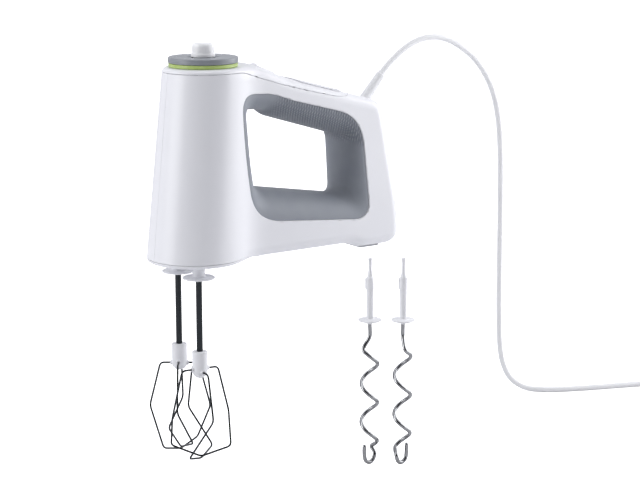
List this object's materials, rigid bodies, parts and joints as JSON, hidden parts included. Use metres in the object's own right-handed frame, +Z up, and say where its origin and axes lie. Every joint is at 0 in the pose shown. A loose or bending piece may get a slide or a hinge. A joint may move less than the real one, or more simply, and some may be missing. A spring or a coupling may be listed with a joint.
{
  "type": "electric hand mixer",
  "caption": "Electric hand mixer with an open loop handle, a round speed dial, an eject button, wire beaters, spiral dough hooks and a mains cord with a plug.",
  "frame": {"origin": "centre of the hand grip, on the plane of symmetry of the housing", "axes": "+Z up along the tool shafts, -X towards the front of the housing, +X towards the heel and the cord, +Y to the left side"},
  "size_m": [0.574, 0.2293, 0.335],
  "materials": {
    "white_plastic": "glossy moulded",
    "soft_grey": "soft matte with a fine dot texture",
    "dial_grey": "satin",
    "lime_plastic": "translucent glossy",
    "chrome": "polished",
    "steel": "machined",
    "copper": "enamelled winding wire",
    "bronze": "sintered",
    "nylon": "moulded",
    "dark_plastic": "satin moulded",
    "board": "lacquered",
    "cord_white": "smooth flexible"
  },
  "bodies": {
    "housing": {"left_shell": "white_plastic", "right_shell": "white_plastic", "top_cover": "white_plastic", "handle_inlay": "white_plastic", "grip_liner": "soft_grey", "base_plate": "white_plastic", "light_ring": "lime_plastic", "heel_foot": "soft_grey", "shell_screw_1": "steel", "shell_screw_2": "steel", "shell_screw_3": "steel", "dial_switch": "dark_plastic", "eject_spring": "steel", "turbo_switch": "dark_plastic", "control_board": "board", "stator_core": "steel", "field_coil_rear": "copper", "field_coil_front": "copper", "motor_bracket": "dark_plastic", "upper_bearing": "bronze", "lower_bearing": "bronze", "brush_holder": "dark_plastic", "gear_plate": "nylon", "strain_relief": "cord_white", "cord_lead": "cord_white", "cord_coil": "cord_white", "cord_tie": "dark_plastic", "cord_tail": "cord_white", "plug_body": "cord_white", "plug_pin_1": "chrome", "plug_pin_2": "chrome"},
    "rotor": {"armature_core": "steel", "armature_winding": "copper", "commutator": "copper", "motor_shaft": "steel", "cooling_fan": "dark_plastic"},
    "idler": {"idler_gear": "nylon"},
    "eject": {"eject_button": "white_plastic", "ejector_fork": "nylon"},
    "dial": {"speed_dial": "dial_grey"},
    "turbo": {"turbo_button": "white_plastic"},
    "left_spindle": {"left_spindle": "steel"},
    "left_ejector": {"left_ejector_pin": "steel"},
    "left_beater": {"left_beater_sleeve": "white_plastic", "left_beater_shaft": "chrome", "left_beater_hub": "white_plastic", "left_beater_wire_1": "chrome", "left_beater_wire_2": "chrome"},
    "left_hook": {"left_hook_sleeve": "white_plastic", "left_hook_rod": "chrome"},
    "right_spindle": {"right_spindle": "steel"},
    "right_ejector": {"right_ejector_pin": "steel"},
    "right_beater": {"right_beater_sleeve": "white_plastic", "right_beater_shaft": "chrome", "right_beater_hub": "white_plastic", "right_beater_wire_1": "chrome", "right_beater_wire_2": "chrome"},
    "right_hook": {"right_hook_sleeve": "white_plastic", "right_hook_rod": "chrome"}
  },
  "joints": [
    {"name": "motor_spin", "type": "hinge", "parent": "housing", "child": "rotor", "pos_m": [-0.082, 0, 0], "axis": [0, 0, 1], "continuous": true},
    {"name": "idler_spin", "type": "hinge", "parent": "housing", "child": "idler", "pos_m": [-0.08105, 0.01697, 0], "axis": [0, 0, 1], "continuous": true},
    {"name": "left_spindle_spin", "type": "hinge", "parent": "housing", "child": "left_spindle", "pos_m": [-0.1025, 0.0155, 0], "axis": [0, 0, 1], "continuous": true},
    {"name": "right_spindle_spin", "type": "hinge", "parent": "housing", "child": "right_spindle", "pos_m": [-0.1025, -0.0155, 0], "axis": [0, 0, 1], "continuous": true},
    {"name": "eject_press", "type": "slide", "parent": "housing", "child": "eject", "axis": [0, 0, -1], "range_m": [0, 0.006], "stiffness_N_per_m": 800, "springref_m": -0.005, "deforming": ["eject_spring"]},
    {"name": "left_eject", "type": "slide", "parent": "left_spindle", "child": "left_ejector", "axis": [0, 0, -1], "range_m": [0, 0.006]},
    {"name": "right_eject", "type": "slide", "parent": "right_spindle", "child": "right_ejector", "axis": [0, 0, -1], "range_m": [0, 0.006]},
    {"name": "left_beater_pull", "type": "slide", "parent": "left_ejector", "child": "left_beater", "axis": [0, 0, -1], "range_m": [0, 0.04]},
    {"name": "right_beater_pull", "type": "slide", "parent": "right_ejector", "child": "right_beater", "axis": [0, 0, -1], "range_m": [0, 0.04]},
    {"name": "dial_turn", "type": "hinge", "parent": "housing", "child": "dial", "pos_m": [-0.086, 0, 0.038], "axis": [0, 0, -1], "range_deg": [0, 200]},
    {"name": "turbo_press", "type": "slide", "parent": "housing", "child": "turbo", "axis": [-0.3649, 0, -0.9311], "range_m": [0, 0.002], "stiffness_N_per_m": 600, "springref_m": -0.002},
    {"name": "left_hook_lift", "type": "slide", "parent": "housing", "child": "left_hook", "axis": [0, 0, 1], "range_m": [0, 0.12]},
    {"name": "right_hook_lift", "type": "slide", "parent": "housing", "child": "right_hook", "axis": [0, 0, 1], "range_m": [0, 0.12]}
  ],
  "couplings": [
    {"joint": "idler_spin", "follows": "motor_spin", "ratio": -0.36},
    {"joint": "left_spindle_spin", "follows": "motor_spin", "ratio": 0.13935},
    {"joint": "right_spindle_spin", "follows": "motor_spin", "ratio": -0.13935},
    {"joint": "left_eject", "follows": "eject_press", "ratio": 1},
    {"joint": "right_eject", "follows": "eject_press", "ratio": 1},
    {"joint": "right_beater_pull", "follows": "left_beater_pull", "ratio": 1}
  ]
}
